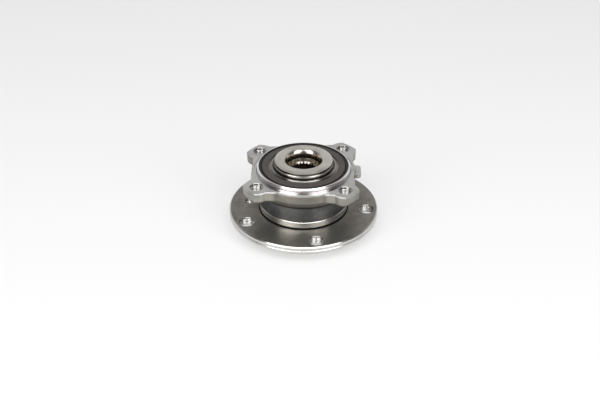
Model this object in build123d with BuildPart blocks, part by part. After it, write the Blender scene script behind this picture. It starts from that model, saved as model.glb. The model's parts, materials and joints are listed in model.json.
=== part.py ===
from build123d import *
from math import cos, pi, radians, sin, sqrt, tan
import os

# Driven wheel hub bearing unit, in millimetres.
# The origin is the centre of the wheel-bolt circle on the brake disc's seat. +Z runs along the
# bearing axis, away from the wheel. +X is the symmetry axis of the four carrier ears.

# Splined bore; the radii of the shaft, tracks and outer ring are built up outwards from it
spline_teeth = 28
spline_module = 1.0
spline_tooth_share = 0.55
spline_length = 35.2
spline_lead = 1.6
spline_relief = 0.1
spline_space_share = 0.5
spline_flank_angle = 60.0
taper_length = 3.1
throat_step = 1.25
throat_length = 3.0
funnel_flare = 2.6
funnel_depth = 5.5
funnel_radius = 7.0
funnel_mouth_radius = 3.0

# Wheel flange
flange_thickness = 8.0
flange_back_bevel = 0.9
flange_seat_bevel = 1.2
rim_wall = 3.25
rim_groove_width = 0.8
rim_groove_depth = 0.4
bolt_circle_d = 120.0
bolt_count = 5
bolt_hole_d = 14.0
first_bolt_angle = -78.5
locating_hole_d = 8.0
locating_offset = 13.5
locating_angle_from_bolt = 252.0
hole_bevel = 0.4

# Disc register and wheel pilot under the flange
pilot_d = 72.5
pilot_depth = 10.0
pilot_bevel = 1.4
pilot_wall = 5.75
register_step = 3.25
register_height = 3.4
recess_draft = 3.5
nut_seat_height = 4.0

# Ball rows
ball_d = 11.1125
balls_per_row = 15
race_gap = 0.15
contact_angle = 40.0
inner_track_depth = 4.2
inner_land_depth = 1.0
outer_track_depth = 3.4
shoulder_land = 1.6

# Cages
cage_wall = 3.2
cage_base = 2.2
cage_horn = 2.2
cage_gap = 2.1
pocket_gap = 0.2

# Hub shaft, inner ring and formed collar
shaft_wall = 6.7
ring_wall = 4.1
ring_bore_bevel = 1.6
ring_face_bevel = 0.5
ring_lip_width = 1.9
ring_lip_height = 0.5
seal_fillet = 7.2
collar_overhang = 4.3
collar_rise = 6.8
collar_tuck = 1.3
collar_shoulder = 2.3
collar_slope = 1.1
collar_rim = 0.5
collar_groove = 0.9
collar_swell = 0.8

# Seals
seal_sheet = 0.9
inboard_seal_step = 3.2
inboard_seal_depth = 5.8
inboard_seal_room = 0.35
seal_flange_share = 0.65
seal_setback = 0.6
slinger_sheet = 0.7
encoder_inset = 1.5
encoder_air_gap = 2.7
encoder_thickness = 0.8
lip_gap = 0.15
rubber_gap = 0.45
rubber_wall = 1.2
lip_root_share = 0.4
outboard_lip_angles = (180, 212, 252)

# Outer ring
end_gap = 1.2
seal_land_wall = 3.8
seal_land_length = 6.4
body_wall = 4.2
body_step = 0.6
shoulder_step = 6.0
shoulder_drop = 3.5
shoulder_fillet = 2.0
spigot_wall = 5.3
spigot_height = 4.0
spigot_bevel = 0.8
spigot_relief_width = 3.0
spigot_relief_depth = 0.7

# Carrier plate, ears and lug
carrier_thickness = 9.5
ear_offset = 9.95
right_ear_angle = 45.0
left_ear_angle = 142.2
ear_radius = 12.6
ear_nose = 9.55
ear_hole_d = 12.0
web_offset = 8.7
left_side_inset = 0.2
right_side_inset = 1.6
web_fillet = 3.5
forging_draft = 2.0
face_bevel = 0.5
lug_length = 5.0
lug_width = 16.5
lug_drop = 1.0
lug_thickness = 4.4
lug_corner = 3.4
lug_root_radius = 2.5

# Radii that follow, from the bore outwards
ball_r = ball_d / 2
race_r = ball_r + race_gap
pocket_r = ball_r + pocket_gap
spline_pitch_r = spline_teeth * spline_module / 2
spline_major_r = spline_pitch_r + spline_module * spline_tooth_share
spline_minor_r = spline_pitch_r - spline_module * spline_tooth_share
throat_r = spline_major_r + throat_step
bore_mouth_r = throat_r + funnel_flare
ring_seat_r = throat_r + shaft_wall
collar_r = ring_seat_r + collar_overhang
race_floor_r = ring_seat_r + ring_wall
inner_land_r = race_floor_r + inner_land_depth
inner_shoulder_r = race_floor_r + inner_track_depth
pitch_r = race_floor_r + race_r
race_bore_r = pitch_r + race_r
outer_land_r = race_bore_r - outer_track_depth
seal_land_r = race_bore_r + seal_land_wall
body_r = race_bore_r + body_wall
shoulder_r = body_r + shoulder_step
inboard_bore_r = race_bore_r + inboard_seal_step
encoder_r = inboard_bore_r - encoder_air_gap
spigot_r = race_bore_r + spigot_wall
relief_r = spigot_r + spigot_relief_width
ear_circle_r = spigot_r + ear_offset
ear_turned_r = ear_circle_r + ear_nose
left_side = shoulder_r - left_side_inset
right_side = shoulder_r - right_side_inset
flange_r = bolt_circle_d / 2 + bolt_hole_d / 2 + rim_wall
pilot_r = pilot_d / 2
register_r = pilot_r + register_step
locating_circle_r = register_r + locating_offset
recess_mouth_r = pilot_r - pilot_wall
recess_floor_r = recess_mouth_r - recess_draft
ball_pitch_angle = 360 / balls_per_row
contact_out = race_r * cos(radians(contact_angle))
contact_up = race_r * sin(radians(contact_angle))
tolerance = 0.001


def race_reach(radius):
    """Axial distance from a row's centre to where its track crosses a given radius."""
    return sqrt(race_r**2 - (radius - pitch_r) ** 2)


# Heights that follow, from the wheel flange upwards and back down the bore
outer_ring_end = flange_thickness + end_gap
fillet_top = flange_thickness + seal_fillet
outboard_row_height = fillet_top + shoulder_land + race_reach(inner_shoulder_r)
inboard_row_height = outboard_row_height + 2 * (pocket_r + cage_base) + cage_gap
ring_seat_height = (outboard_row_height + inboard_row_height) / 2
seal_floor = inboard_row_height + ball_r + inboard_seal_room
ring_face_height = seal_floor + inboard_seal_depth
ring_lip_top = ring_face_height + ring_lip_height
collar_height = ring_face_height + collar_rise
carrier_face_height = ring_face_height - spigot_height
shoulder_thickness = carrier_thickness + shoulder_drop
shoulder_height = carrier_face_height - shoulder_thickness
throat_height = collar_height - funnel_depth
spline_top = throat_height - throat_length - taper_length
spline_bottom = spline_top - spline_length


def turn(*outline):
    """Revolve a closed outline of (radius, height) points about the bearing axis."""
    with BuildSketch(Plane.XZ) as section:
        with BuildLine():
            Polyline(*outline, close=True)
        make_face()
    revolve(section.sketch, axis=Axis.Z)


def round_edges(part, radius):
    """The circular edges of a given radius."""
    circles = part.edges().filter_by(GeomType.CIRCLE)
    return circles.filter_by(lambda edge: abs(edge.radius - radius) < tolerance)


def polar(radius, angle):
    """A point in the XY plane at a radius and an angle in degrees."""
    return (radius * cos(radians(angle)), radius * sin(radians(angle)))


def save(name, part):
    """Label a finished piece and write it under its own name."""
    part.label = name
    export_step(part, f"parts/{name}.step")


os.makedirs("parts", exist_ok=True)

# Hub: the shaft's outline runs up the outside from the pilot to the collar and back down the bore
with BuildPart() as hub:
    with BuildSketch(Plane.XZ):
        with BuildLine():
            wheel_side = Polyline(
                (spline_minor_r, nut_seat_height),
                (recess_floor_r, nut_seat_height),
                (recess_mouth_r, -pilot_depth),
                (pilot_r - pilot_bevel, -pilot_depth),
                (pilot_r, pilot_bevel - pilot_depth),
                (pilot_r, -register_height),
                (register_r, -register_height),
                (register_r, 0),
                (flange_r - flange_seat_bevel, 0),
                (flange_r, flange_seat_bevel),
                (flange_r, (flange_thickness - rim_groove_width) / 2),
                (flange_r - rim_groove_depth, flange_thickness / 2),
                (flange_r, (flange_thickness + rim_groove_width) / 2),
                (flange_r, flange_thickness - flange_back_bevel),
                (flange_r - flange_back_bevel, flange_thickness),
                (inner_shoulder_r + seal_fillet, flange_thickness),
            )
            root = RadiusArc(
                wheel_side @ 1, (inner_shoulder_r, fillet_top), seal_fillet
            )
            shoulder = Line(
                root @ 1, (inner_shoulder_r, outboard_row_height - race_reach(inner_shoulder_r))
            )
            track = ThreePointArc(
                shoulder @ 1,
                (race_floor_r, outboard_row_height),
                (inner_land_r, outboard_row_height + race_reach(inner_land_r)),
            )
            seat = Polyline(
                track @ 1,
                (inner_land_r, ring_seat_height),
                (ring_seat_r, ring_seat_height),
                (ring_seat_r, ring_face_height - ring_bore_bevel),
                (ring_seat_r + ring_bore_bevel, ring_face_height),
                (collar_r - collar_tuck, ring_face_height),
            )
            rim_top = collar_height - collar_slope
            groove_height = rim_top - collar_rim - collar_groove / 2
            swell = ThreePointArc(
                seat @ 1,
                (collar_r + collar_swell, (ring_face_height + groove_height) / 2),
                (collar_r - collar_groove, groove_height),
            )
            crown = Polyline(
                swell @ 1,
                (collar_r, rim_top - collar_rim),
                (collar_r, rim_top),
                (collar_r - collar_shoulder, collar_height),
                (bore_mouth_r, collar_height),
            )
            funnel = RadiusArc(crown @ 1, (throat_r, throat_height), -funnel_radius)
            Polyline(
                funnel @ 1,
                (throat_r, throat_height - throat_length),
                (spline_major_r + spline_relief, spline_top),
                (spline_minor_r, spline_top - spline_lead),
                wheel_side @ 0,
            )
        make_face()
    revolve(axis=Axis.Z)
    fillet(round_edges(hub, bore_mouth_r), funnel_mouth_radius)

    # Threaded holes for the wheel bolts and the disc's locating screw
    with BuildSketch(Plane.XY):
        with PolarLocations(bolt_circle_d / 2, bolt_count, start_angle=first_bolt_angle):
            Circle(bolt_hole_d / 2)
    extrude(amount=flange_thickness, mode=Mode.SUBTRACT)
    locating_angle = first_bolt_angle + locating_angle_from_bolt
    with BuildSketch(Plane.XY):
        with Locations(polar(locating_circle_r, locating_angle)):
            Circle(locating_hole_d / 2)
    extrude(amount=flange_thickness, mode=Mode.SUBTRACT)
    hole_rims = round_edges(hub, bolt_hole_d / 2) + round_edges(hub, locating_hole_d / 2)
    chamfer(hole_rims, hole_bevel)

    # Drive spline: equal spaces cut between the teeth, open to the bore
    space_height = spline_major_r - spline_minor_r
    space_pitch = pi * spline_module
    space_flare = space_height / 2 / tan(radians(spline_flank_angle))
    with BuildSketch(Plane.XY.offset(spline_bottom)):
        with PolarLocations(spline_minor_r, spline_teeth):
            Trapezoid(
                space_pitch * spline_space_share + 4 * space_flare,
                2 * space_height,
                spline_flank_angle,
                rotation=-90,
            )
    extrude(amount=spline_top - spline_bottom, mode=Mode.SUBTRACT)
save("hub", hub.part)

# Inner ring, pressed on the shaft and held by the collar
with BuildPart() as inner_ring:
    with BuildSketch(Plane.XZ):
        with BuildLine():
            bore = Polyline(
                (inner_land_r, ring_seat_height),
                (ring_seat_r, ring_seat_height),
                (ring_seat_r, ring_face_height - ring_bore_bevel),
                (ring_seat_r + ring_bore_bevel, ring_face_height),
                (inner_shoulder_r - ring_lip_width - ring_lip_height, ring_face_height),
                (inner_shoulder_r - ring_lip_width, ring_lip_top),
                (inner_shoulder_r - ring_face_bevel, ring_lip_top),
                (inner_shoulder_r, ring_lip_top - ring_face_bevel),
                (inner_shoulder_r, inboard_row_height + race_reach(inner_shoulder_r)),
            )
            track = ThreePointArc(
                bore @ 1,
                (race_floor_r, inboard_row_height),
                (inner_land_r, inboard_row_height - race_reach(inner_land_r)),
            )
            Line(track @ 1, bore @ 0)
        make_face()
    revolve(axis=Axis.Z)
save("inner_ring", inner_ring.part)

# Outer ring: turned body and spigot, then the forged carrier plate with its ears and lug
ear_angles = (right_ear_angle, left_ear_angle, -left_ear_angle, -right_ear_angle)
ear_centres = [polar(ear_circle_r, angle) for angle in ear_angles]
right_ear = ear_centres[0]
left_ear = ear_centres[1]
ear_slope = (right_ear[1] - left_ear[1]) / (right_ear[0] - left_ear[0])


def web_edge(x):
    """Distance of the plate's long edge from the X axis, along the line of two ears."""
    return left_ear[1] + ear_slope * (x - left_ear[0]) + web_offset


with BuildPart() as outer_ring:
    with BuildSketch(Plane.XZ):
        with BuildLine():
            outside = Polyline(
                (race_bore_r, outboard_row_height),
                (race_bore_r, outer_ring_end + face_bevel),
                (race_bore_r + face_bevel, outer_ring_end),
                (seal_land_r - face_bevel, outer_ring_end),
                (seal_land_r, outer_ring_end + face_bevel),
                (seal_land_r, outer_ring_end + seal_land_length - body_step),
                (seal_land_r - body_step, outer_ring_end + seal_land_length),
                (body_r, outer_ring_end + seal_land_length + body_step),
                (body_r, shoulder_height - shoulder_fillet),
            )
            neck = RadiusArc(
                outside @ 1, (body_r + shoulder_fillet, shoulder_height), shoulder_fillet
            )
            inside = Polyline(
                neck @ 1,
                (shoulder_r - face_bevel, shoulder_height),
                (shoulder_r, shoulder_height + face_bevel),
                (shoulder_r, carrier_face_height - face_bevel),
                (shoulder_r - face_bevel, carrier_face_height),
                (relief_r, carrier_face_height),
                (relief_r, carrier_face_height - spigot_relief_depth),
                (spigot_r, carrier_face_height - spigot_relief_depth),
                (spigot_r, ring_face_height - spigot_bevel),
                (spigot_r - spigot_bevel, ring_face_height),
                (inboard_bore_r + face_bevel / 2, ring_face_height),
                (inboard_bore_r, ring_face_height - face_bevel / 2),
                (inboard_bore_r, seal_floor),
                (race_bore_r, seal_floor),
                (race_bore_r, inboard_row_height),
            )
            inboard_track = ThreePointArc(
                inside @ 1,
                (pitch_r + contact_out, inboard_row_height - contact_up),
                (outer_land_r, inboard_row_height - race_reach(outer_land_r)),
            )
            land = Line(
                inboard_track @ 1, (outer_land_r, outboard_row_height + race_reach(outer_land_r))
            )
            ThreePointArc(
                land @ 1, (pitch_r + contact_out, outboard_row_height + contact_up), outside @ 0
            )
        make_face()
    revolve(axis=Axis.Z)

    # Carrier plate: a web between four ears, trimmed to the turned diameter
    with BuildSketch(Plane.XY.offset(carrier_face_height - face_bevel)) as plate:
        with BuildLine():
            Polyline(
                (right_side, web_edge(right_side)),
                (-left_side, web_edge(-left_side)),
                (-left_side, -web_edge(-left_side)),
                (right_side, -web_edge(right_side)),
                close=True,
            )
        make_face()
        with Locations(*ear_centres):
            Circle(ear_radius)
        Circle(ear_turned_r, mode=Mode.INTERSECT)
        hollows = plate.vertices().filter_by(
            lambda v: sqrt(v.X**2 + v.Y**2) < ear_turned_r - face_bevel
        )
        fillet(hollows, web_fillet)
        Circle(relief_r, mode=Mode.SUBTRACT)
    extrude(amount=face_bevel - carrier_thickness, taper=forging_draft)
    extrude(plate.sketch, amount=face_bevel, taper=45)

    # Threaded holes through the ears, which also graze the shoulder under the plate
    with Locations(*[(*centre, carrier_face_height) for centre in ear_centres]):
        CounterSinkHole(
            ear_hole_d / 2,
            ear_hole_d / 2 + hole_bevel,
            depth=shoulder_thickness,
            counter_sink_angle=90,
        )

    # Locating lug between the two right-hand ears, a little below the carrier face
    with BuildSketch(Plane.XY.offset(carrier_face_height - lug_drop)) as lug:
        Circle(shoulder_r - face_bevel)
        with Locations((shoulder_r + (lug_length - lug_corner) / 2, 0)):
            Rectangle(lug_length + lug_corner, lug_width)
        roots = lug.vertices().filter_by(lambda v: v.X < shoulder_r)
        fillet(roots, lug_root_radius)
        fillet(lug.vertices().group_by(Axis.X)[-1], lug_corner)
        Circle(spigot_r, mode=Mode.SUBTRACT)
    extrude(amount=-lug_thickness, taper=forging_draft)
save("outer_ring", outer_ring.part)

# Inboard seal: a steel case in the outer ring, and a slinger with the encoder on the inner ring
slinger_top = ring_face_height - encoder_thickness
slinger_sleeve_r = inner_shoulder_r + slinger_sheet
encoder_inner_r = inner_shoulder_r + encoder_inset
slinger_edge_r = encoder_r - slinger_sheet / 2
seal_flange_r = inboard_bore_r - seal_sheet - (inboard_bore_r - slinger_sleeve_r) * seal_flange_share
case_inner_r = inboard_bore_r - seal_sheet

with BuildPart() as inboard_seal_case:
    turn(
        (seal_flange_r, seal_floor),
        (inboard_bore_r, seal_floor),
        (inboard_bore_r, ring_face_height - seal_setback),
        (case_inner_r, ring_face_height - seal_setback),
        (case_inner_r, seal_floor + seal_sheet),
        (seal_flange_r, seal_floor + seal_sheet),
    )
save("inboard_seal_case", inboard_seal_case.part)

with BuildPart() as inboard_slinger:
    turn(
        (inner_shoulder_r, seal_floor + lip_gap),
        (slinger_sleeve_r, seal_floor + lip_gap),
        (slinger_sleeve_r, slinger_top - slinger_sheet),
        (slinger_edge_r, slinger_top - slinger_sheet),
        (slinger_edge_r, slinger_top),
        (inner_shoulder_r, slinger_top),
    )
save("inboard_slinger", inboard_slinger.part)

with BuildPart() as encoder_ring:
    turn(
        (encoder_inner_r, slinger_top),
        (slinger_edge_r, slinger_top),
        (slinger_edge_r, slinger_top - slinger_sheet),
        (encoder_r, slinger_top - slinger_sheet),
        (encoder_r, ring_face_height - lip_gap),
        (encoder_r - lip_gap, ring_face_height),
        (encoder_inner_r, ring_face_height),
    )
save("encoder_ring", encoder_ring.part)


def strip(root, tip, root_width, tip_width):
    """Add a tapering strip of rubber between two (radius, height) points."""
    start = Vector(*root)
    end = Vector(*tip)
    across = (end - start).normalized().rotate(Axis.Z, 90) / 2
    with BuildLine() as outline:
        Polyline(
            start + across * root_width,
            end + across * tip_width,
            end - across * tip_width,
            start - across * root_width,
            close=True,
        )
    make_face(outline.edges())


lining_r = encoder_r + rubber_gap
seal_web = seal_floor + seal_sheet
with BuildPart() as inboard_seal_lip:
    with BuildSketch(Plane.XZ):
        with BuildLine():
            Polyline(
                (seal_flange_r, seal_web),
                (case_inner_r, seal_web),
                (case_inner_r, ring_face_height - seal_setback - rubber_gap),
                (lining_r + rubber_gap, ring_face_height - seal_setback - rubber_gap),
                (lining_r, ring_face_height - seal_setback - 2 * rubber_gap),
                (lining_r, seal_web + seal_sheet),
                (seal_flange_r, seal_web + seal_sheet),
                close=True,
            )
        make_face()
        web_middle = seal_web + seal_sheet / 2
        strip(
            (seal_flange_r, web_middle),
            (slinger_sleeve_r + 3 * lip_gap, web_middle - lip_gap),
            seal_sheet,
            rubber_gap,
        )
        strip(
            (seal_flange_r + rubber_wall, web_middle),
            (slinger_edge_r - rubber_wall, slinger_top - slinger_sheet - 2 * lip_gap),
            seal_sheet,
            rubber_gap,
        )
    revolve(axis=Axis.Z)
save("inboard_seal_lip", inboard_seal_lip.part)

# Outboard seal: a steel case in the outer ring, with three lips that run on the hub's fillet
outboard_case_r = race_bore_r - seal_sheet
outboard_flange_r = (race_bore_r + inner_shoulder_r) / 2
outboard_seal_top = outboard_row_height - ball_r - rubber_wall
fillet_r = inner_shoulder_r + seal_fillet


def on_fillet(angle):
    """A point one lip gap clear of the hub's seal fillet, by its angle about the fillet's centre."""
    reach = seal_fillet - 2 * lip_gap
    return (fillet_r + reach * cos(radians(angle)), fillet_top + reach * sin(radians(angle)))


with BuildPart() as outboard_seal_case:
    turn(
        (outboard_case_r, outer_ring_end + seal_setback),
        (race_bore_r, outer_ring_end + seal_setback),
        (race_bore_r, outboard_seal_top),
        (outboard_flange_r, outboard_seal_top),
        (outboard_flange_r, outboard_seal_top - seal_sheet),
        (outboard_case_r, outboard_seal_top - seal_sheet),
    )
save("outboard_seal_case", outboard_seal_case.part)

with BuildPart() as outboard_seal_lip:
    rubber_floor = outboard_seal_top - seal_sheet - rubber_wall
    with BuildSketch(Plane.XZ):
        with BuildLine():
            Polyline(
                (outboard_case_r, outboard_seal_top - seal_sheet),
                (outboard_flange_r, outboard_seal_top - seal_sheet),
                (outboard_flange_r, rubber_floor),
                (outboard_case_r - seal_sheet, rubber_floor),
                (outboard_case_r - seal_sheet, outer_ring_end + seal_setback + rubber_gap),
                (outboard_case_r, outer_ring_end + seal_setback),
                close=True,
            )
        make_face()
        lip_root = (outboard_flange_r, rubber_floor + rubber_wall * lip_root_share)
        for lip_angle in outboard_lip_angles:
            strip(lip_root, on_fillet(lip_angle), rubber_wall, lip_gap * 2)
    revolve(axis=Axis.Z)
save("outboard_seal_lip", outboard_seal_lip.part)

# Ball rows: in each, a snap cage with its ring on the side of the other row
rows = (("outboard", outboard_row_height, 1), ("inboard", inboard_row_height, -1))
for row, height, side in rows:
    first_angle = side * ball_pitch_angle / 4
    with BuildPart() as cage:
        turn(
            (pitch_r - cage_wall / 2, height - side * cage_horn),
            (pitch_r + cage_wall / 2, height - side * cage_horn),
            (pitch_r + cage_wall / 2, height + side * (pocket_r + cage_base)),
            (pitch_r - cage_wall / 2, height + side * (pocket_r + cage_base)),
        )
        for number in range(balls_per_row):
            angle = first_angle + number * ball_pitch_angle
            outward = Plane(origin=(0, 0, height), z_dir=(*polar(1, angle), 0))
            with BuildSketch(outward):
                Circle(pocket_r)
            extrude(amount=pitch_r + cage_wall, mode=Mode.SUBTRACT)
    save(f"{row}_cage", cage.part)
    for number in range(balls_per_row):
        angle = first_angle + number * ball_pitch_angle
        with BuildPart() as ball:
            with Locations((*polar(pitch_r, angle), height)):
                Sphere(ball_r)
        save(f"{row}_ball_{number + 1:02}", ball.part)
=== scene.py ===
"""Looks of a driven wheel hub unit: steel finishes, cut threads, light and camera."""

import json
import logging
from dataclasses import dataclass
from enum import Enum
from functools import cache, cached_property
from math import cos, radians, sin, tau

import bmesh
import bpy
from mathutils import Matrix, Vector


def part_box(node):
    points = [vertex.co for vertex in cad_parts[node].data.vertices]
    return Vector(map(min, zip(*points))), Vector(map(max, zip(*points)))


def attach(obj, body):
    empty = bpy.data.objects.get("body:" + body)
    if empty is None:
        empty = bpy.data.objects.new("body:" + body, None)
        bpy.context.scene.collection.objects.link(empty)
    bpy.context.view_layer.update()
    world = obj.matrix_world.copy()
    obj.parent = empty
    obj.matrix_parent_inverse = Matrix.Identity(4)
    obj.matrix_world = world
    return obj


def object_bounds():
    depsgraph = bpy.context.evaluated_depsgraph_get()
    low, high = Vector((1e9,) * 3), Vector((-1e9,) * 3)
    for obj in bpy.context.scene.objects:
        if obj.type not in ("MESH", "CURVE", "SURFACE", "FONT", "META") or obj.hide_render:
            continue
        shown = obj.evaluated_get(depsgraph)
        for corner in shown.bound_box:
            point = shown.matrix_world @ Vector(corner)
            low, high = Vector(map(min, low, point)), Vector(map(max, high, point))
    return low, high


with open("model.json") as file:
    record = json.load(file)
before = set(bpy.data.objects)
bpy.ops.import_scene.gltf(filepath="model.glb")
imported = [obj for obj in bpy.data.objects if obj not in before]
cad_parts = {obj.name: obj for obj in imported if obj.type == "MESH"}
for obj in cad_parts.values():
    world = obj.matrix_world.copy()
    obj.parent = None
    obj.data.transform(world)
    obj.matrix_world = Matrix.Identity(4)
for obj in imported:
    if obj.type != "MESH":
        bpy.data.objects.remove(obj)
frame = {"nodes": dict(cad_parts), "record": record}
cad_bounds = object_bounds()

MM = 0.001
log = logging.getLogger("wheel_hub")

Colour = tuple[float, float, float]
Point = tuple[float, float]
Span = tuple[float, float]
Socket = bpy.types.NodeSocket
Tint = Socket | Colour
Form = bmesh.types.BMesh

UP = (0.0, 0.0, 1.0)
LEVEL = (1.0, 1.0, 0.0)
WHITE = (1.0, 1.0, 1.0, 1.0)
RISING = (0.0, 1.0)
FALLING = (1.0, 0.0)


class Body(Enum):
    """The rigid bodies that new pieces ride on."""

    CARRIER = "carrier"
    HUB = "wheel_hub"


class Slot(Enum):
    """The record's material slots; the threaded holes keep one, though their threads take the
    thread steel.
    """

    HUB_STEEL = "hub_steel"
    CARRIER_STEEL = "carrier_steel"
    SEAL_RUBBER = "seal_rubber"


class Row(Enum):
    """The two ball rows: one beside the wheel flange, the other under the collar."""

    OUTBOARD = "outboard"
    INBOARD = "inboard"


class Side(Enum):
    """The two sides of the camera, as a factor on an angle to its right."""

    LEFT = -1
    RIGHT = 1


@dataclass(frozen=True)
class Grain:
    """A noise: its features per metre, its octaves and how much the finer ones count."""

    scale: float
    octaves: float = 3.0
    gain: float = 0.55


LATHE_GRAIN = Grain(1.0, 2.0, 0.6)
# How much height counts beside radius in the place of a lathe's mark
HEIGHT_LEAN = 1.37


class Graph:
    """A material's node tree, with short calls for the nodes that the finishes share."""

    def __init__(self, name: str) -> None:
        """Start an empty tree that holds a metal or plastic shader and its output.

        Args:
            name: The material's name.
        """
        self.material = bpy.data.materials.new(name)
        self.material.use_nodes = True
        self.tree = self.material.node_tree
        self.tree.nodes.clear()
        output = self.tree.nodes.new("ShaderNodeOutputMaterial")
        self.shader = self.tree.nodes.new("ShaderNodeBsdfPrincipled")
        self.link(self.shader.outputs["BSDF"], output.inputs["Surface"])
        self.place = self.tree.nodes.new("ShaderNodeTexCoord").outputs["Object"]

    @cached_property
    def radius(self) -> Socket:
        """Distance from the bearing axis, in metres."""
        return self.vector("LENGTH", self.vector("MULTIPLY", self.place, LEVEL))

    @cached_property
    def height(self) -> Socket:
        """Height over the disc seat, in metres."""
        return self.split(self.place)[2]

    def link(self, source: Socket, target: Socket) -> None:
        """Join two sockets."""
        self.tree.links.new(source, target)

    def feed(self, target: Socket, value: Tint | float) -> None:
        """Put a link or a plain value into a socket.

        Args:
            target: The input socket.
            value: Another node's output, or the value itself.
        """
        if isinstance(value, Socket):
            self.link(value, target)
        else:
            target.default_value = value

    def split(self, vector: Socket) -> tuple[Socket, Socket, Socket]:
        """The three parts of a vector.

        Args:
            vector: The vector's socket.

        Returns:
            The sockets of its X, Y and Z.
        """
        node = self.tree.nodes.new("ShaderNodeSeparateXYZ")
        self.link(vector, node.inputs["Vector"])
        return node.outputs["X"], node.outputs["Y"], node.outputs["Z"]

    def math(self, operation: str, *values: Socket | float) -> Socket:
        """A Math node.

        Args:
            operation: The node's operation, such as MULTIPLY.
            values: Its inputs, in order.

        Returns:
            The result's socket.
        """
        node = self.tree.nodes.new("ShaderNodeMath")
        node.operation = operation
        for target, value in zip(node.inputs, values):
            self.feed(target, value)
        return node.outputs["Value"]

    def vector(self, operation: str, *values: Tint) -> Socket:
        """A Vector Math node.

        Args:
            operation: The node's operation, such as NORMALIZE.
            values: Its inputs, in order.

        Returns:
            The result's socket, a number for LENGTH and a vector otherwise.
        """
        node = self.tree.nodes.new("ShaderNodeVectorMath")
        node.operation = operation
        for target, value in zip(node.inputs, values):
            self.feed(target, value)
        return node.outputs["Value" if operation == "LENGTH" else "Vector"]

    def scaled(self, vector: Socket, factor: Socket) -> Socket:
        """A vector or colour times a number.

        Args:
            vector: The vector's or colour's socket.
            factor: The number's socket.

        Returns:
            The result's socket.
        """
        node = self.tree.nodes.new("ShaderNodeVectorMath")
        node.operation = "SCALE"
        self.link(vector, node.inputs["Vector"])
        self.link(factor, node.inputs["Scale"])
        return node.outputs["Vector"]

    def noise(self, where: Socket, grain: Grain) -> Socket:
        """A Noise Texture's value, from 0 to 1 about a mean of a half.

        Args:
            where: The coordinates that it reads.
            grain: How fine it is.

        Returns:
            The value's socket.
        """
        node = self.tree.nodes.new("ShaderNodeTexNoise")
        self.link(where, node.inputs["Vector"])
        node.inputs["Scale"].default_value = grain.scale
        node.inputs["Detail"].default_value = grain.octaves
        node.inputs["Roughness"].default_value = grain.gain
        return node.outputs["Factor"] if "Factor" in node.outputs else node.outputs["Fac"]

    def ramp(self, value: Socket, span: Span, ends: Span) -> Socket:
        """A value moved smoothly from one range into another, and held at its ends.

        Args:
            value: The value to move.
            span: Where the first range starts and ends.
            ends: The results at those two places.

        Returns:
            The result's socket.
        """
        node = self.tree.nodes.new("ShaderNodeMapRange")
        node.interpolation_type = "SMOOTHSTEP"
        self.link(value, node.inputs["Value"])
        node.inputs["From Min"].default_value, node.inputs["From Max"].default_value = span
        node.inputs["To Min"].default_value, node.inputs["To Max"].default_value = ends
        return node.outputs["Result"]

    def mix(self, share: Socket | float, first: Tint, second: Tint) -> Socket:
        """A blend of two colours.

        Args:
            share: How much of the second colour shows.
            first: The first colour.
            second: The second colour.

        Returns:
            The blend's socket.
        """
        node = self.tree.nodes.new("ShaderNodeMix")
        node.data_type = "RGBA"
        self.feed(node.inputs["Factor"], share)
        for target, value in ((node.inputs["A"], first), (node.inputs["B"], second)):
            self.feed(target, value if isinstance(value, Socket) else (*value, 1.0))
        return node.outputs["Result"]

    def bump(self, height: Socket, distance: float) -> None:
        """Give the shader a fine relief.

        Args:
            height: Relief from 0 to 1.
            distance: The relief's depth in metres.
        """
        node = self.tree.nodes.new("ShaderNodeBump")
        node.inputs["Distance"].default_value = distance
        self.link(height, node.inputs["Height"])
        self.link(node.outputs["Normal"], self.shader.inputs["Normal"])

    def rings(self, pitch: float, wander: float) -> Socket:
        """Fine rings about the bearing axis, as a lathe tool leaves them on faces and walls.

        Args:
            pitch: Distance from one mark to the next, in metres.
            wander: How much a mark changes along its way round.

        Returns:
            The relief's socket, from 0 to 1.
        """
        around = self.vector("NORMALIZE", self.vector("MULTIPLY", self.place, LEVEL))
        across = self.math("ADD", self.radius, self.math("MULTIPLY", self.height, HEIGHT_LEAN))
        join = self.tree.nodes.new("ShaderNodeCombineXYZ")
        self.link(self.math("DIVIDE", across, pitch), join.inputs["Z"])
        spread = self.vector("MULTIPLY", around, (wander, wander, 0.0))
        return self.noise(self.vector("ADD", spread, join.outputs["Vector"]), LATHE_GRAIN)

    def lay_round_axis(self) -> None:
        """Turn the shader's anisotropy so that its grooves run round the bearing axis."""
        turn = self.tree.nodes.new("ShaderNodeVectorTransform")
        turn.vector_type = "VECTOR"
        turn.convert_from = "OBJECT"
        turn.convert_to = "WORLD"
        across = self.vector("CROSS_PRODUCT", UP, self.place)
        self.link(self.vector("NORMALIZE", across), turn.inputs["Vector"])
        self.link(turn.outputs["Vector"], self.shader.inputs["Tangent"])


@dataclass(frozen=True)
class Band:
    """A stretch of a turned piece, between two radii and two heights, each where it is given."""

    inner: float | None = None
    outer: float | None = None
    low: float | None = None
    high: float | None = None
    edge: float = 0.12 * MM

    def mask(self, graph: Graph) -> Socket:
        """How much a point belongs to the stretch.

        Args:
            graph: The material's tree.

        Returns:
            A value from 0 to 1.
        """
        sides = (
            (graph.radius, self.inner, RISING),
            (graph.radius, self.outer, FALLING),
            (graph.height, self.low, RISING),
            (graph.height, self.high, FALLING),
        )
        share = None
        for value, limit, ends in sides:
            if limit is not None:
                step = graph.ramp(value, (limit - self.edge, limit + self.edge), ends)
                share = step if share is None else graph.math("MULTIPLY", share, step)
        return share


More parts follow.
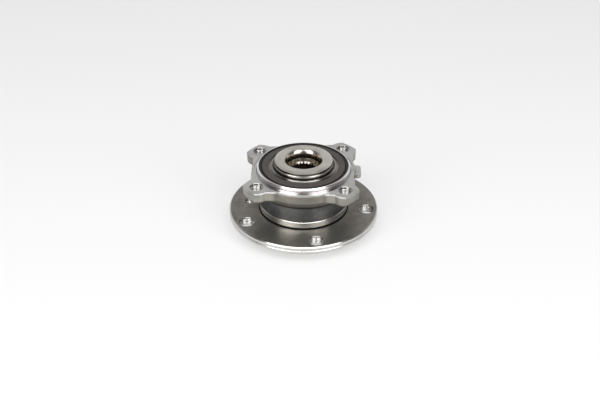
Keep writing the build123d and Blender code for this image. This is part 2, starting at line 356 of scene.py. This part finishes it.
@dataclass(frozen=True)
class Holes:
    """The walls and bevels of round holes whose axes run along the bearing axis."""

    centres: tuple[Point, ...]
    radius: float
    bevel: float = 0.4 * MM
    edge: float = 0.12 * MM

    def mask(self, graph: Graph) -> Socket:
        """How much a point belongs to one of the holes.

        Args:
            graph: The material's tree.

        Returns:
            A value from 0 to 1.
        """
        flat = graph.vector("MULTIPLY", graph.place, LEVEL)
        nearest = None
        for x, y in self.centres:
            away = graph.vector("LENGTH", graph.vector("SUBTRACT", flat, (x, y, 0.0)))
            nearest = away if nearest is None else graph.math("MINIMUM", nearest, away)
        reach = self.radius + self.bevel
        return graph.ramp(nearest, (reach - self.edge, reach + self.edge), FALLING)


@dataclass(frozen=True)
class Surface:
    """How one stretch of steel is finished.

    The marks are a lathe's rings and the scale is a forging's skin, each from 0 to 1.
    """

    colour: Colour
    stain: Colour
    roughness: float
    marks: float = 0.5
    scale: float = 0.0
    where: Band | Holes | None = None

    @property
    def feel(self) -> Colour:
        """Roughness, marks and scale as one vector."""
        return self.roughness, self.marks, self.scale


@dataclass(frozen=True)
class Steel:
    """A piece of steel whose stretches are turned, milled or left as forged."""

    name: str
    surfaces: tuple[Surface, ...]
    anisotropy: float = 0.6
    groove_turn: float = 0.25
    mark_pitch: float = 0.3 * MM
    mark_wander: float = 1.6
    mark_depth: float = 0.15
    skin: Grain = Grain(1100.0, 5.0, 0.6)
    clouds: Grain = Grain(60.0, 5.0, 0.6)
    patch_span: Span = (0.44, 0.66)
    drift_span: Span = (0.3, 0.7)
    roughness_drift: float = 0.05
    contrast: float = 0.9
    relief: float = 0.06 * MM

    def material(self) -> bpy.types.Material:
        """Build the finish.

        Returns:
            Its material.
        """
        graph = Graph(self.name)
        tone, stain, feel = self.blend(graph)
        roughness, marks, scale = graph.split(feel)
        rings = graph.rings(self.mark_pitch, self.mark_wander)
        skin = graph.noise(graph.place, self.skin)
        clouds = graph.noise(graph.place, self.clouds)
        patches = graph.ramp(clouds, self.patch_span, RISING)
        lined = graph.math("MULTIPLY", graph.math("SUBTRACT", rings, 0.5), marks)
        pitted = graph.math("MULTIPLY", graph.math("SUBTRACT", skin, 0.5), scale)
        change = graph.math("MULTIPLY", graph.math("ADD", lined, pitted), self.contrast)
        colour = graph.scaled(graph.mix(patches, tone, stain), graph.math("ADD", 1.0, change))
        graph.link(colour, graph.shader.inputs["Base Color"])
        drift = graph.ramp(clouds, self.drift_span, (-self.roughness_drift, self.roughness_drift))
        graph.link(graph.math("ADD", roughness, drift), graph.shader.inputs["Roughness"])
        graph.shader.inputs["Metallic"].default_value = 1.0
        graph.shader.inputs["Anisotropic"].default_value = self.anisotropy
        graph.shader.inputs["Anisotropic Rotation"].default_value = self.groove_turn
        graph.lay_round_axis()
        height = graph.math("ADD", graph.math("MULTIPLY", lined, self.mark_depth), pitted)
        graph.bump(height, self.relief)
        return graph.material

    def blend(self, graph: Graph) -> tuple[Tint, Tint, Socket]:
        """Lay the surfaces over each other, each where its stretch is.

        Args:
            graph: The material's tree.

        Returns:
            The colour, the stain's colour, and roughness, marks and scale as one vector.
        """
        ground, *others = self.surfaces
        tone, stain, feel = ground.colour, ground.stain, ground.feel
        if not others:
            # The shader still reads the feel of a single surface through a socket
            return tone, stain, graph.mix(0.0, feel, feel)
        for surface in others:
            share = surface.where.mask(graph)
            tone = graph.mix(share, tone, surface.colour)
            stain = graph.mix(share, stain, surface.stain)
            feel = graph.mix(share, feel, surface.feel)
        return tone, stain, feel


@dataclass(frozen=True)
class Rubber:
    """Moulded rubber or nylon with a fine grain and some dust."""

    name: str
    colour: Colour
    pale: Colour
    roughness: float = 0.55
    roughness_spread: float = 0.08
    shine: float = 0.5
    grain: Grain = Grain(2600.0)
    grain_span: Span = (0.3, 0.7)
    dust: Grain = Grain(160.0, 4.0)
    dust_span: Span = (0.4, 0.75)
    most_dust: float = 0.6
    relief: float = 0.02 * MM

    def material(self) -> bpy.types.Material:
        """Build the finish.

        Returns:
            Its material.
        """
        graph = Graph(self.name)
        grain = graph.noise(graph.place, self.grain)
        clouds = graph.noise(graph.place, self.dust)
        dust = graph.ramp(clouds, self.dust_span, (0.0, self.most_dust))
        graph.link(graph.mix(dust, self.colour, self.pale), graph.shader.inputs["Base Color"])
        ends = (self.roughness - self.roughness_spread, self.roughness + self.roughness_spread)
        graph.link(graph.ramp(grain, self.grain_span, ends), graph.shader.inputs["Roughness"])
        graph.shader.inputs["Specular IOR Level"].default_value = self.shine
        graph.bump(grain, self.relief)
        return graph.material


@dataclass(frozen=True)
class BallSteel:
    """Polished bearing steel."""

    name: str = "polished_ball"
    colour: Colour = (0.62, 0.61, 0.59)
    shade: float = 0.9
    haze: Grain = Grain(300.0)
    haze_span: Span = (0.3, 0.7)
    roughness: Span = (0.06, 0.14)

    def material(self) -> bpy.types.Material:
        """Build the finish.

        Returns:
            Its material.
        """
        graph = Graph(self.name)
        haze = graph.noise(graph.place, self.haze)
        roughness = graph.ramp(haze, self.haze_span, self.roughness)
        graph.link(roughness, graph.shader.inputs["Roughness"])
        darker = tuple(channel * self.shade for channel in self.colour)
        graph.link(graph.mix(haze, self.colour, darker), graph.shader.inputs["Base Color"])
        graph.shader.inputs["Metallic"].default_value = 1.0
        return graph.material


Finish = Steel | Rubber | BallSteel

THREAD_STEEL = Steel(
    "thread_steel",
    (Surface((0.72, 0.71, 0.69), (0.6, 0.59, 0.57), 0.2, marks=0.1),),
    anisotropy=0.0,
)
# Dark seal steel: painted shade for the recess between the collar and the encoder where the
# slinger sits; the outboard seal's case takes it too
SEAL_STEEL = Steel(
    "seal_steel",
    (Surface((0.26, 0.255, 0.245), (0.2, 0.195, 0.185), 0.3, marks=0.2),),
)
SEAL_RUBBER = Rubber("seal_rubber", (0.012, 0.012, 0.012), (0.03, 0.03, 0.028))
# Near-black matte rubber for the ring that paints the shadow in the gap under the seal band
GAP_SHADOW_RUBBER = Rubber(
    "skirt_rubber",
    (0.003, 0.003, 0.003),
    (0.006, 0.006, 0.005),
    roughness=0.8,
    shine=0.05,
)
ENCODER_RUBBER = Rubber("encoder_rubber", (0.046, 0.039, 0.0345), (0.067, 0.058, 0.051))
CAGE_NYLON = Rubber("cage_nylon", (0.1, 0.085, 0.06), (0.13, 0.11, 0.08), roughness=0.45)


@cache
def material_of(finish: Finish) -> bpy.types.Material:
    """A finish's material, built the first time that a piece asks for it."""
    return finish.material()


def dress(node: str, finish: Finish) -> None:
    """Give a solid its finish.

    Args:
        node: The solid's name.
        finish: What it looks like.
    """
    mesh = frame["nodes"][node].data
    mesh.materials.clear()
    mesh.materials.append(material_of(finish))
    log.info("dressed %s in %s", node, finish.name)


def add_object(form: Form, name: str, material: bpy.types.Material) -> bpy.types.Object:
    """Make an object of a finished form.

    Args:
        form: The form, which is used up.
        name: The object's name.
        material: Its material.

    Returns:
        The object, at the origin, with its place in its mesh.
    """
    mesh = bpy.data.meshes.new(name)
    form.to_mesh(mesh)
    form.free()
    mesh.materials.append(material)
    made = bpy.data.objects.new(name, mesh)
    bpy.context.scene.collection.objects.link(made)
    return made


def add_piece(form: Form, name: str, finish: Finish, body: Body) -> None:
    """Add a new piece to the unit.

    Args:
        form: The piece's form, which is used up.
        name: The piece's name.
        finish: What it looks like.
        body: The body that it moves with.
    """
    piece = add_object(form, name, material_of(finish))
    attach(piece, body.value)
    log.info("added %s in %s, %d faces", name, finish.name, len(piece.data.polygons))


@dataclass(frozen=True)
class Datums:
    """Places and sizes of the unit in metres, as its solids and its record have them."""

    bolt_holes: tuple[Point, ...]
    bolt_radius: float
    locating_hole: tuple[Point, ...]
    locating_radius: float
    ear_holes: tuple[Point, ...]
    ear_radius: float
    flange_radius: float
    body_bottom: float
    plate_top: float
    spigot_radius: float
    ring_face: float
    ring_radius: float

    @classmethod
    def read(cls) -> "Datums":
        """Read them from the frame.

        Returns:
            The unit's places and sizes.
        """
        mounts = {mount["name"]: mount for mount in frame["record"]["mounts"]}
        return cls(
            bolt_holes=cls.centres("wheel_bolt_hole"),
            bolt_radius=mounts["wheel_bolts"]["dims"]["hole_r_mm"] * MM,
            locating_hole=(tuple(mounts["locating_screw"]["pos_m"][:2]),),
            locating_radius=mounts["locating_screw"]["dims"]["r_mm"] * MM,
            ear_holes=cls.centres("ear_hole"),
            ear_radius=mounts["carrier_bolts_right"]["dims"]["hole_r_mm"] * MM,
            flange_radius=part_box("hub")[1].x,
            body_bottom=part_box("outer_ring")[0].z,
            plate_top=mounts["carrier_face"]["pos_m"][2],
            spigot_radius=mounts["inboard_spigot"]["dims"]["r_mm"] * MM,
            ring_face=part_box("encoder_ring")[1].z,
            ring_radius=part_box("inner_ring")[1].x,
        )

    @staticmethod
    def centres(family: str) -> tuple[Point, ...]:
        """Centres of the record's openings whose names start alike.

        Args:
            family: What the names start with.

        Returns:
            The centres as x and y, in the order of the names.
        """
        openings = {hole["name"]: hole["box_m"] for hole in frame["record"]["physics"]["openings"]}
        boxes = [openings[name] for name in sorted(openings) if name.startswith(family)]
        return tuple(((low[0] + high[0]) / 2, (low[1] + high[1]) / 2) for low, high in boxes)


UNIT = Datums.read()
FLANGE_TOP = 8.0 * MM
# How far a band's limit stands off the face that it should take in or leave out
HAIR = 0.15 * MM
LEAST_FACING = 1e-9


@dataclass(frozen=True)
class Thread:
    """A cut thread: one ridge that winds up the wall of a hole. Its shares are of the pitch."""

    centre: Point
    radius: float
    low: float
    high: float
    pitch: float
    height_share: float = 0.42
    root_share: float = 0.84
    crest_share: float = 0.12
    steps_a_turn: int = 32
    embed: float = 0.04 * MM

    def form(self) -> Form:
        """Wind the ridge.

        Returns:
            The closed ridge, smooth only on the faces that point into the hole.
        """
        rise = self.high - self.low - self.root_share * self.pitch
        turns = rise / self.pitch
        steps = round(turns * self.steps_a_turn)
        crest = self.radius - self.height_share * self.pitch
        root = self.radius + self.embed
        middle = self.low + self.root_share * self.pitch / 2
        ridge = bmesh.new()
        x, y = self.centre
        corners = [
            ridge.verts.new((x + reach, y, middle + side * self.pitch / 2))
            for reach, side in (
                (root, -self.root_share),
                (crest, -self.crest_share),
                (crest, self.crest_share),
                (root, self.root_share),
            )
        ]
        profile = ridge.faces.new(corners)
        bmesh.ops.spin(
            ridge,
            geom=[*ridge.verts, *ridge.edges, profile],
            cent=(x, y, 0.0),
            axis=UP,
            dvec=(0.0, 0.0, rise / steps),
            angle=turns * tau,
            steps=steps,
            use_duplicate=False,
        )
        bmesh.ops.recalc_face_normals(ridge, faces=ridge.faces)
        axis = Vector((x, y, 0.0))
        for face in ridge.faces:
            outward = face.calc_center_median() - axis
            outward.z = 0.0
            face.smooth = face.normal.dot(outward) < -LEAST_FACING
        return ridge


@dataclass(frozen=True)
class ThreadedHoles:
    """A family of like holes, each with a cut thread."""

    family: str
    centres: tuple[Point, ...]
    radius: float
    pitch: float
    low: float
    high: float
    body: Body
    slot: Slot
    lead_in: float = 0.5 * MM

    def build(self) -> None:
        """Wind the thread of every hole."""
        low = self.low + self.lead_in
        high = self.high - self.lead_in
        for number, centre in enumerate(self.centres, start=1):
            thread = Thread(centre, self.radius, low, high, self.pitch)
            name = f"{self.family}_thread_{number}"
            add_piece(thread.form(), name, THREAD_STEEL, self.body)


@dataclass(frozen=True)
class Hub:
    """The shaft with its wheel flange, splined bore and formed collar."""

    fillet_edge: float = 37.5 * MM
    rim_edge: float = UNIT.flange_radius - 1.0 * MM
    funnel_mouth: float = 18.0 * MM
    bore_mouth: float = 19.0 * MM
    throat_top: float = UNIT.ring_face + 3.5 * MM
    throat_edge: float = 1.0 * MM
    groove_inset: float = 5.0 * MM
    groove_low: float = UNIT.ring_face + 3.6 * MM
    groove_high: float = UNIT.ring_face + 5.2 * MM
    groove_edge: float = 0.3 * MM
    bolt_pitch: float = 1.5 * MM
    screw_pitch: float = 1.25 * MM

    def build(self) -> None:
        """Dress the solid and cut the threads of its holes."""
        surfaces = (*self.flange_surfaces(), *self.collar_surfaces(), *self.hole_surfaces())
        dress("hub", Steel("hub_steel", surfaces))
        for family, centres, radius, pitch in (
            ("wheel_bolt", UNIT.bolt_holes, UNIT.bolt_radius, self.bolt_pitch),
            ("locating_screw", UNIT.locating_hole, UNIT.locating_radius, self.screw_pitch),
        ):
            holes = ThreadedHoles(
                family,
                centres,
                radius,
                pitch,
                low=0.0,
                high=FLANGE_TOP,
                body=Body.HUB,
                slot=Slot.HUB_STEEL,
            )
            holes.build()

    def flange_surfaces(self) -> tuple[Surface, ...]:
        """The shaft, the flange's turned face and its bright rim.

        Returns:
            Their surfaces, the shaft's first.
        """
        shaft = Surface((0.45, 0.44, 0.41), (0.36, 0.35, 0.32), 0.3)
        face = Surface(
            (0.262, 0.247, 0.222),
            (0.202, 0.19, 0.168),
            0.45,
            where=Band(inner=self.fillet_edge, outer=self.rim_edge, low=FLANGE_TOP - HAIR),
        )
        rim = Surface(
            (0.61, 0.6, 0.575),
            (0.52, 0.51, 0.485),
            0.2,
            marks=0.2,
            where=Band(inner=self.rim_edge),
        )
        return shaft, face, rim

    def collar_surfaces(self) -> tuple[Surface, ...]:
        """The formed collar, its polished funnel, painted shade on the throat under it, and
        painted shade in the groove under the collar's rim.

        Returns:
            Their surfaces.
        """
        collar = Surface(
            (0.6, 0.57, 0.53),
            (0.5, 0.47, 0.43),
            0.32,
            marks=0.3,
            where=Band(outer=UNIT.ring_radius, low=UNIT.ring_face - HAIR),
        )
        funnel = Surface(
            (0.58, 0.54, 0.485),
            (0.5, 0.46, 0.41),
            0.2,
            marks=0.12,
            where=Band(outer=self.funnel_mouth, low=self.throat_top),
        )
        # Painted shade: darker steel deep in the bore, where its depth lies in shadow
        throat_shade = Surface(
            (0.3, 0.265, 0.22),
            (0.25, 0.22, 0.18),
            0.19,
            marks=0.12,
            where=Band(outer=self.bore_mouth, high=self.throat_top, edge=self.throat_edge),
        )
        # Painted shade: a dark band in the groove under the collar's rim, where the rim's shadow
        # falls
        groove_shade = Surface(
            (0.05, 0.045, 0.04),
            (0.035, 0.03, 0.025),
            0.3,
            marks=0.1,
            where=Band(
                inner=self.bore_mouth + self.groove_inset,
                low=self.groove_low,
                high=self.groove_high,
                edge=self.groove_edge,
            ),
        )
        return collar, funnel, throat_shade, groove_shade

    def hole_surfaces(self) -> tuple[Surface, ...]:
        """The walls of the wheel-bolt holes and of the locating screw's hole, darkened as painted
        shade inside the holes.

        Returns:
            Their surfaces.
        """
        # Painted shade: the hole walls are darker than the threads, for the shade inside the holes
        bolt_wall_shade = Surface(
            (0.34, 0.33, 0.32),
            (0.28, 0.27, 0.26),
            0.25,
            marks=0.1,
            where=Holes(UNIT.bolt_holes, UNIT.bolt_radius),
        )
        screw_wall_shade = Surface(
            (0.5, 0.49, 0.46),
            (0.4, 0.39, 0.36),
            0.25,
            marks=0.1,
            where=Holes(UNIT.locating_hole, UNIT.locating_radius),
        )
        return bolt_wall_shade, screw_wall_shade


@dataclass(frozen=True)
class CarrierRing:
    """The stationary ring: seal band, body, four-eared plate and spigot."""

    band_top: float = UNIT.body_bottom + 6.6 * MM
    shoulder_bottom: float = UNIT.plate_top - 13.1 * MM
    shade_drop: float = 4.4 * MM
    shade_edge: float = 0.5 * MM
    shoulder_edge_height: float = 1.5 * MM
    side_middle: float = UNIT.plate_top - 8.5 * MM
    side_edge: float = 1.0 * MM
    ears_inner: float = UNIT.spigot_radius + 6.5 * MM
    lug_top: float = UNIT.plate_top - 1.0 * MM
    web_outer: float = UNIT.spigot_radius + 6.0 * MM
    relief_outer: float = UNIT.spigot_radius + 3.0 * MM
    relief_low: float = UNIT.plate_top - 0.9 * MM
    foot_width: float = 0.75 * MM
    spigot_wall: float = 1.6 * MM
    thread_pitch: float = 1.5 * MM

    def build(self) -> None:
        """Dress the solid and cut the threads of its ears."""
        dress("outer_ring", Steel("carrier_steel", (*self.side_surfaces(), *self.top_surfaces())))
        holes = ThreadedHoles(
            "carrier_bolt",
            UNIT.ear_holes,
            UNIT.ear_radius,
            self.thread_pitch,
            low=self.shoulder_bottom,
            high=UNIT.plate_top,
            body=Body.CARRIER,
            slot=Slot.CARRIER_STEEL,
        )
        holes.build()

    def side_surfaces(self) -> tuple[Surface, ...]:
        """The forged body, the ground seal band, and the plate's sides from low to high, with
        painted shade under the plate, on the sides' lower half and at the shoulder's edge, and
        painted light on the ears' sides.

        Returns:
            Their surfaces, the body's first.
        """
        body = Surface((0.13, 0.13, 0.126), (0.088, 0.092, 0.09), 0.42, marks=0.1, scale=0.7)
        band = Surface(
            (0.82, 0.81, 0.78),
            (0.74, 0.73, 0.7),
            0.2,
            marks=0.4,
            where=Band(high=self.band_top),
        )
        # Painted shade: a dark strip on the body just under the carrier plate, where the plate's
        # shadow falls
        shade = Surface(
            (0.03, 0.029, 0.027),
            (0.022, 0.021, 0.02),
            0.45,
            marks=0.1,
            scale=0.3,
            where=Band(
                low=self.shoulder_bottom - self.shade_drop,
                high=self.shoulder_bottom,
                edge=self.shade_edge,
            ),
        )
        # Painted shade: the plate's side is darker on its lower half
        shaded_lower_side = Surface(
            (0.105, 0.093, 0.081),
            (0.078, 0.068, 0.059),
            0.42,
            marks=0.1,
            scale=0.3,
            where=Band(low=self.shoulder_bottom, high=self.side_middle, edge=self.side_edge),
        )
        upper_side = Surface(
            (0.225, 0.213, 0.182),
            (0.165, 0.156, 0.132),
            0.46,
            marks=0.1,
            scale=0.3,
            where=Band(low=self.side_middle, edge=self.side_edge),
        )
        # Painted light: the ears' upper sides are lighter, standing in for the light that falls on
        # them
        lit_ear_sides = Surface(
            (0.36, 0.347, 0.31),
            (0.28, 0.27, 0.24),
            0.46,
            marks=0.1,
            scale=0.3,
            where=Band(inner=self.ears_inner, low=self.side_middle, edge=self.side_edge),
        )
        # Painted shade: a dark line along the shoulder's lower edge, where the shadow under the
        # plate starts
        shoulder_edge_shade = Surface(
            (0.035, 0.03, 0.026),
            (0.025, 0.022, 0.02),
            0.5,
            marks=0.1,
            where=Band(
                inner=UNIT.spigot_radius,
                low=self.band_top,
                high=self.shoulder_bottom + self.shoulder_edge_height,
            ),
        )
        return body, band, shade, shaded_lower_side, upper_side, lit_ear_sides, shoulder_edge_shade

    def top_surfaces(self) -> tuple[Surface, ...]:
        """The milled top, the relief and the spigot, with painted shade on the webs' edges, at the
        relief's foot, on the spigot's inner rim and on the hole walls.

        Returns:
            Their surfaces.
        """
        top = Surface(
            (0.56, 0.56, 0.55),
            (0.49, 0.49, 0.475),
            0.48,
            marks=0.25,
            where=Band(low=self.lug_top - HAIR),
        )
        # Painted shade: a darker ring on the webs' edges round the spigot
        web_edge_shade = Surface(
            (0.2, 0.19, 0.165),
            (0.15, 0.14, 0.12),
            0.46,
            marks=0.1,
            where=Band(
                inner=self.relief_outer + HAIR,
                outer=self.web_outer,
                low=self.lug_top + 2 * HAIR,
                high=UNIT.plate_top - HAIR,
            ),
        )
        relief = Surface(
            (0.52, 0.51, 0.5),
            (0.44, 0.43, 0.42),
            0.2,
            marks=0.4,
            where=Band(outer=self.relief_outer, low=self.relief_low, high=UNIT.plate_top - HAIR),
        )
        # Painted shade: a dark line at the foot of the spigot's wall, where the relief lies in its
        # shadow
        foot_shade = Surface(
            (0.09, 0.086, 0.08),
            (0.07, 0.066, 0.062),
            0.3,
            marks=0.2,
            where=Band(
                outer=UNIT.spigot_radius + self.foot_width,
                low=self.relief_low,
                high=UNIT.plate_top - HAIR,
            ),
        )
        spigot = Surface(
            (0.89, 0.85, 0.86),
            (0.79, 0.75, 0.755),
            0.17,
            marks=0.4,
            where=Band(outer=UNIT.spigot_radius + HAIR, low=self.lug_top + HAIR),
        )
        # Painted shade: a black ring on the spigot's inner rim, standing in for the shadowed gap
        # beside the encoder
        inner_rim_shade = Surface(
            (0.02, 0.019, 0.018),
            (0.014, 0.013, 0.012),
            0.5,
            marks=0.1,
            where=Band(outer=UNIT.spigot_radius - self.spigot_wall, low=self.lug_top + HAIR),
        )
        # Painted shade: the ear holes' walls are darker, for the shade inside them
        hole_wall_shade = Surface(
            (0.34, 0.33, 0.32),
            (0.28, 0.27, 0.26),
            0.25,
            marks=0.1,
            where=Holes(UNIT.ear_holes, UNIT.ear_radius),
        )
        return top, web_edge_shade, relief, foot_shade, spigot, inner_rim_shade, hole_wall_shade


@dataclass(frozen=True)
class InnerRing:
    """The pressed-on ring whose end face shows round the collar."""

    lip_inner: float = UNIT.ring_radius - 2.2 * MM

    def build(self) -> None:
        """Dress the solid: a face darkened as painted shade round the collar, with a brighter lip.
        """
        # Painted shade: the end face is dark where the collar's shadow falls on it
        face = Surface((0.07, 0.063, 0.057), (0.05, 0.045, 0.04), 0.3, marks=0.3)
        lip = Surface(
            (0.28, 0.265, 0.25),
            (0.22, 0.21, 0.2),
            0.24,
            marks=0.2,
            where=Band(inner=self.lip_inner),
        )
        dress("inner_ring", Steel("ring_steel", (face, lip)))


@dataclass(frozen=True)
class InboardSeal:
    """The seal under the collar, with the encoder that a speed sensor reads."""

    rubber_nodes: tuple[str, ...] = ("inboard_seal_case", "inboard_seal_lip")

    def build(self) -> None:
        """Dress the solids."""
        dress("inboard_slinger", SEAL_STEEL)
        dress("encoder_ring", ENCODER_RUBBER)
        for node in self.rubber_nodes:
            dress(node, SEAL_RUBBER)


@dataclass(frozen=True)
class OutboardSeal:
    """The seal over the wheel flange, with a black rubber ring laid on the flange as painted
    shadow in the gap under the seal band.
    """

    shadow_ring_inner: float = UNIT.spigot_radius - 3.7 * MM
    shadow_ring_outer: float = UNIT.spigot_radius - 0.8 * MM
    thickness: float = 0.75 * MM
    embed: float = 0.02 * MM
    nose: float = 0.3 * MM
    steps: int = 180

    def build(self) -> None:
        """Dress the solids and add the black ring of painted shadow."""
        dress("outboard_seal_case", SEAL_STEEL)
        dress("outboard_seal_lip", SEAL_RUBBER)
        add_piece(self.gap_shadow_ring(), "outboard_dust_skirt", GAP_SHADOW_RUBBER, Body.HUB)

    def gap_shadow_ring(self) -> Form:
        """Turn the black ring that paints the gap's shadow.

        Returns:
            A flat closed ring with a bevel round its top.
        """
        low = FLANGE_TOP - self.embed
        high = FLANGE_TOP + self.thickness
        ring = bmesh.new()
        corners = [
            ring.verts.new((reach, 0.0, height))
            for reach, height in (
                (self.shadow_ring_inner, low),
                (self.shadow_ring_outer, low),
                (self.shadow_ring_outer, high - self.nose),
                (self.shadow_ring_outer - self.nose, high),
                (self.shadow_ring_inner, high),
            )
        ]
        sides = [ring.edges.new((corners[at - 1], corners[at])) for at in range(len(corners))]
        bmesh.ops.spin(
            ring,
            geom=[*corners, *sides],
            cent=(0.0, 0.0, 0.0),
            axis=UP,
            angle=tau,
            steps=self.steps,
            use_merge=True,
            use_duplicate=False,
        )
        bmesh.ops.recalc_face_normals(ring, faces=ring.faces)
        return ring


@dataclass(frozen=True)
class BallRow:
    """One row of balls in its cage."""

    row: Row

    def build(self) -> None:
        """Dress the cage and every ball."""
        dress(f"{self.row.value}_cage", CAGE_NYLON)
        for node in sorted(frame["nodes"]):
            if node.startswith(f"{self.row.value}_ball_"):
                dress(node, BallSteel())


@dataclass(frozen=True)
class Viewpoint:
    """The photograph's camera."""

    distance: float = 850.0 * MM
    elevation: float = 32.84
    turn: float = 0.6
    focal_pixels: float = 895.3
    image_width: float = 600.0
    sensor_width: float = 36.0
    aim: tuple[float, float, float] = (-3.3 * MM, 0.0, 13.33 * MM)

    def build(self) -> None:
        """Place the camera and make it the scene's own."""
        camera = bpy.data.cameras.new("photo_camera")
        camera.sensor_width = self.sensor_width
        camera.lens = self.sensor_width * self.focal_pixels / self.image_width
        viewer = bpy.data.objects.new(camera.name, camera)
        rise = radians(self.elevation)
        back = Vector((0.0, -cos(rise), sin(rise)))
        turned = Matrix.Rotation(radians(self.turn), 4, "Z")
        viewer.location = turned @ (Vector(self.aim) + back * self.distance)
        viewer.rotation_euler = (turned @ back).to_track_quat("Z", "Y").to_euler()
        bpy.context.scene.collection.objects.link(viewer)
        bpy.context.scene.camera = viewer
        log.info("placed %s", viewer.name)


@dataclass(frozen=True)
class Studio:
    """A lit white table, two large soft lamps in front and a room that is pale behind the unit."""

    view_turn: float
    floor_height: float = cad_bounds[0][2]
    floor_reach: float = 40.0
    floor_colour: Colour = (0.38, 0.38, 0.38)
    floor_roughness: float = 0.6
    floor_glow: float = 0.5
    lamp_side: float = 37.5
    lamp_elevation: float = 36.0
    lamp_roll: float = 12.0
    lamp_distance: float = 1.5
    lamp_width: float = 1.0
    lamp_height: float = 1.9
    lamp_power: float = 22.0
    room_fill: float = 0.3
    room_front: float = 0.12
    room_back: float = 0.75
    fade_start: float = -0.2
    fade_end: float = 0.7

    def build(self) -> None:
        """Lay the floor, hang the lamps and light the room."""
        self.lay_floor()
        for side in Side:
            self.hang_lamp(side)
        self.light_room()

    def lay_floor(self) -> None:
        """A wide level floor that the unit stands on."""
        sheet = bmesh.new()
        bmesh.ops.create_grid(sheet, x_segments=1, y_segments=1, size=self.floor_reach)
        bmesh.ops.translate(sheet, vec=(0.0, 0.0, self.floor_height), verts=sheet.verts)
        graph = Graph("floor_paper")
        graph.shader.inputs["Base Color"].default_value = (*self.floor_colour, 1.0)
        graph.shader.inputs["Roughness"].default_value = self.floor_roughness
        graph.shader.inputs["Emission Color"].default_value = WHITE
        glow = graph.math("MULTIPLY", self.seen_or_mirrored(graph.tree), self.floor_glow)
        graph.link(glow, graph.shader.inputs["Emission Strength"])
        add_object(sheet, "floor", graph.material)
        log.info("laid floor")

    def hang_lamp(self, side: Side) -> None:
        """Hang one soft lamp, aimed at the unit.

        Args:
            side: The side of the camera that it hangs on.
        """
        light = bpy.data.lights.new(f"softbox_{side.name.lower()}", "AREA")
        light.shape = "RECTANGLE"
        light.size = self.lamp_width
        light.size_y = self.lamp_height
        light.energy = self.lamp_power
        lamp = bpy.data.objects.new(light.name, light)
        bearing = radians(-90.0 + self.view_turn + side.value * self.lamp_side)
        rise = radians(self.lamp_elevation)
        lamp.location = self.lamp_distance * Vector(
            (cos(bearing) * cos(rise), sin(bearing) * cos(rise), sin(rise))
        )
        aim = lamp.location.to_track_quat("Z", "Y").to_matrix().to_4x4()
        roll = Matrix.Rotation(radians(side.value * self.lamp_roll), 4, "Z")
        lamp.rotation_euler = (aim @ roll).to_euler()
        bpy.context.scene.collection.objects.link(lamp)
        log.info("hung %s", lamp.name)

    def light_room(self) -> None:
        """Fill light from all round, dim behind the camera and bright behind the unit."""
        world = bpy.data.worlds.new("room")
        bpy.context.scene.world = world
        world.use_nodes = True
        tree = world.node_tree
        parts = tree.nodes.new("ShaderNodeSeparateXYZ")
        direction = tree.nodes.new("ShaderNodeTexCoord").outputs["Generated"]
        tree.links.new(direction, parts.inputs["Vector"])
        fade = tree.nodes.new("ShaderNodeMapRange")
        fade.interpolation_type = "SMOOTHSTEP"
        tree.links.new(parts.outputs["Y"], fade.inputs["Value"])
        fade.inputs["From Min"].default_value = self.fade_start
        fade.inputs["From Max"].default_value = self.fade_end
        fade.inputs["To Min"].default_value = self.room_front
        fade.inputs["To Max"].default_value = self.room_back
        choose = tree.nodes.new("ShaderNodeMix")
        tree.links.new(self.seen_or_mirrored(tree), choose.inputs["Factor"])
        choose.inputs["A"].default_value = self.room_fill
        tree.links.new(fade.outputs["Result"], choose.inputs["B"])
        background = tree.nodes["Background"]
        tree.links.new(choose.outputs["Result"], background.inputs["Strength"])
        background.inputs["Color"].default_value = WHITE
        log.info("lit %s", world.name)

    @staticmethod
    def seen_or_mirrored(tree: bpy.types.NodeTree) -> Socket:
        """Whether a ray comes from the camera or from a shiny surface, as 1 or 0.

        Args:
            tree: The floor's or the world's tree.

        Returns:
            The value's socket.
        """
        path = tree.nodes.new("ShaderNodeLightPath").outputs
        either = tree.nodes.new("ShaderNodeMath")
        either.operation = "MAXIMUM"
        tree.links.new(path["Is Camera Ray"], either.inputs[0])
        tree.links.new(path["Is Glossy Ray"], either.inputs[1])
        return either.outputs["Value"]


def main() -> None:
    """Dress and build the sub-assemblies in order, then the studio and the camera."""
    logging.basicConfig(level=logging.INFO, format="%(message)s")
    view = Viewpoint()
    Hub().build()
    InnerRing().build()
    CarrierRing().build()
    InboardSeal().build()
    OutboardSeal().build()
    for row in Row:
        BallRow(row).build()
    Studio(view.turn).build()
    view.build()
    bpy.context.scene.view_settings.view_transform = "Standard"


if __name__ == "__main__":
    main()
